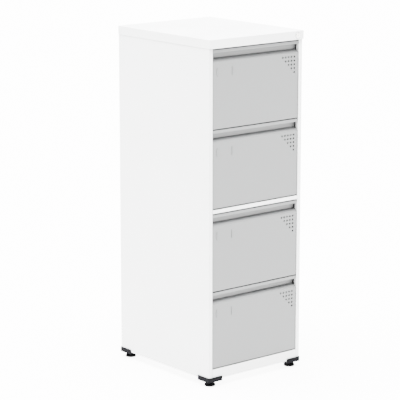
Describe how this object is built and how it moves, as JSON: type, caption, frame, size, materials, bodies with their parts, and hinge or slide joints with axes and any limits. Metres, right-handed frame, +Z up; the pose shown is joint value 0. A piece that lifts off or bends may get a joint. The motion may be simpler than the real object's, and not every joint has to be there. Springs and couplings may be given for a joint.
{
  "type": "metal filing cabinet",
  "caption": "Tall steel office cabinet with stacked pull-out file drawers, full-width recessed grips, a top lock bar and black levelling feet.",
  "frame": {"origin": "on the floor under the middle of the cabinet's bounding box", "axes": "+Z up; the drawers open towards -Y; +X is the right-hand side for someone facing the drawers"},
  "size_m": [0.466, 0.5623, 1.33],
  "materials": {
    "body_white": "semi-gloss white powder coat on folded steel",
    "upright_white": "white powder coat on slotted steel",
    "front_grey": "semi-gloss light grey powder coat",
    "tray_grey": "light grey powder coat",
    "slide_zinc": "bright zinc plate on rolled steel",
    "bare_zinc": "zinc-plated strip steel",
    "screw_steel": "zinc-plated screws",
    "lock_nickel": "polished nickel plate on die-cast zinc",
    "bracket_plastic": "moulded black plastic, fine texture",
    "foot_plastic": "moulded black plastic",
    "stud_steel": "zinc-plated threaded steel"
  },
  "bodies": {
    "cabinet": {"top_cap": "body_white", "top_front_rail": "body_white", "left_side_panel": "body_white", "right_side_panel": "body_white", "back_panel": "body_white", "base_pan": "body_white", "plinth_rail": "body_white", "middle_crossbar": "body_white", "slide_uprights": "upright_white", "cabinet_screws": "screw_steel", "lock_housing": "lock_nickel", "lock_bar_guides": "bare_zinc", "front_left_bracket": "bracket_plastic", "front_right_bracket": "bracket_plastic", "rear_left_bracket": "bracket_plastic", "rear_right_bracket": "bracket_plastic", "drawer_1_slides_outer": "slide_zinc", "drawer_2_slides_outer": "slide_zinc", "drawer_3_slides_outer": "slide_zinc", "drawer_4_slides_outer": "slide_zinc"},
    "drawer_1": {"drawer_1_front": "front_grey", "drawer_1_tray": "tray_grey", "drawer_1_back": "tray_grey", "drawer_1_screws": "screw_steel", "drawer_1_slides_inner": "slide_zinc", "drawer_1_lock_catch": "bare_zinc"},
    "drawer_1_slide": {"drawer_1_slides_middle": "slide_zinc"},
    "drawer_2": {"drawer_2_front": "front_grey", "drawer_2_tray": "tray_grey", "drawer_2_back": "tray_grey", "drawer_2_screws": "screw_steel", "drawer_2_slides_inner": "slide_zinc", "drawer_2_lock_catch": "bare_zinc"},
    "drawer_2_slide": {"drawer_2_slides_middle": "slide_zinc"},
    "drawer_3": {"drawer_3_front": "front_grey", "drawer_3_tray": "tray_grey", "drawer_3_back": "tray_grey", "drawer_3_screws": "screw_steel", "drawer_3_slides_inner": "slide_zinc", "drawer_3_lock_catch": "bare_zinc"},
    "drawer_3_slide": {"drawer_3_slides_middle": "slide_zinc"},
    "drawer_4": {"drawer_4_front": "front_grey", "drawer_4_tray": "tray_grey", "drawer_4_back": "tray_grey", "drawer_4_screws": "screw_steel", "drawer_4_slides_inner": "slide_zinc", "drawer_4_lock_catch": "bare_zinc"},
    "drawer_4_slide": {"drawer_4_slides_middle": "slide_zinc"},
    "lock_plug": {"lock_plug": "lock_nickel", "lock_cam": "bare_zinc"},
    "lock_bar": {"lock_bar": "bare_zinc", "lock_bar_hooks": "bare_zinc"},
    "front_left_foot": {"front_left_foot_pad": "foot_plastic", "front_left_foot_stud": "stud_steel"},
    "front_right_foot": {"front_right_foot_pad": "foot_plastic", "front_right_foot_stud": "stud_steel"},
    "rear_left_foot": {"rear_left_foot_pad": "foot_plastic", "rear_left_foot_stud": "stud_steel"},
    "rear_right_foot": {"rear_right_foot_pad": "foot_plastic", "rear_right_foot_stud": "stud_steel"}
  },
  "joints": [
    {"name": "drawer_1_pull", "type": "slide", "parent": "cabinet", "child": "drawer_1", "axis": [0, -1, 0], "range_m": [0, 0.43]},
    {"name": "drawer_2_pull", "type": "slide", "parent": "cabinet", "child": "drawer_2", "axis": [0, -1, 0], "range_m": [0, 0.43]},
    {"name": "drawer_3_pull", "type": "slide", "parent": "cabinet", "child": "drawer_3", "axis": [0, -1, 0], "range_m": [0, 0.43]},
    {"name": "drawer_4_pull", "type": "slide", "parent": "cabinet", "child": "drawer_4", "axis": [0, -1, 0], "range_m": [0, 0.43]},
    {"name": "drawer_1_slide_travel", "type": "slide", "parent": "cabinet", "child": "drawer_1_slide", "axis": [0, -1, 0], "range_m": [0, 0.215]},
    {"name": "drawer_2_slide_travel", "type": "slide", "parent": "cabinet", "child": "drawer_2_slide", "axis": [0, -1, 0], "range_m": [0, 0.215]},
    {"name": "drawer_3_slide_travel", "type": "slide", "parent": "cabinet", "child": "drawer_3_slide", "axis": [0, -1, 0], "range_m": [0, 0.215]},
    {"name": "drawer_4_slide_travel", "type": "slide", "parent": "cabinet", "child": "drawer_4_slide", "axis": [0, -1, 0], "range_m": [0, 0.215]},
    {"name": "lock_turn", "type": "hinge", "parent": "cabinet", "child": "lock_plug", "pos_m": [0.2002, -0.27975, 1.312], "axis": [0, -1, 0], "range_deg": [0, 90]},
    {"name": "lock_bar_lift", "type": "slide", "parent": "cabinet", "child": "lock_bar", "axis": [0, 0, 1], "range_m": [0, 0.012]},
    {"name": "front_left_foot_level", "type": "slide", "parent": "cabinet", "child": "front_left_foot", "axis": [0, 0, -1], "range_m": [0, 0.01]},
    {"name": "front_right_foot_level", "type": "slide", "parent": "cabinet", "child": "front_right_foot", "axis": [0, 0, -1], "range_m": [0, 0.01]},
    {"name": "rear_left_foot_level", "type": "slide", "parent": "cabinet", "child": "rear_left_foot", "axis": [0, 0, -1], "range_m": [0, 0.01]},
    {"name": "rear_right_foot_level", "type": "slide", "parent": "cabinet", "child": "rear_right_foot", "axis": [0, 0, -1], "range_m": [0, 0.01]}
  ],
  "couplings": [
    {"joint": "drawer_1_slide_travel", "follows": "drawer_1_pull", "ratio": 0.5},
    {"joint": "drawer_2_slide_travel", "follows": "drawer_2_pull", "ratio": 0.5},
    {"joint": "drawer_3_slide_travel", "follows": "drawer_3_pull", "ratio": 0.5},
    {"joint": "drawer_4_slide_travel", "follows": "drawer_4_pull", "ratio": 0.5},
    {"joint": "lock_turn", "follows": "lock_bar_lift", "rad_per_m": 130.9}
  ]
}
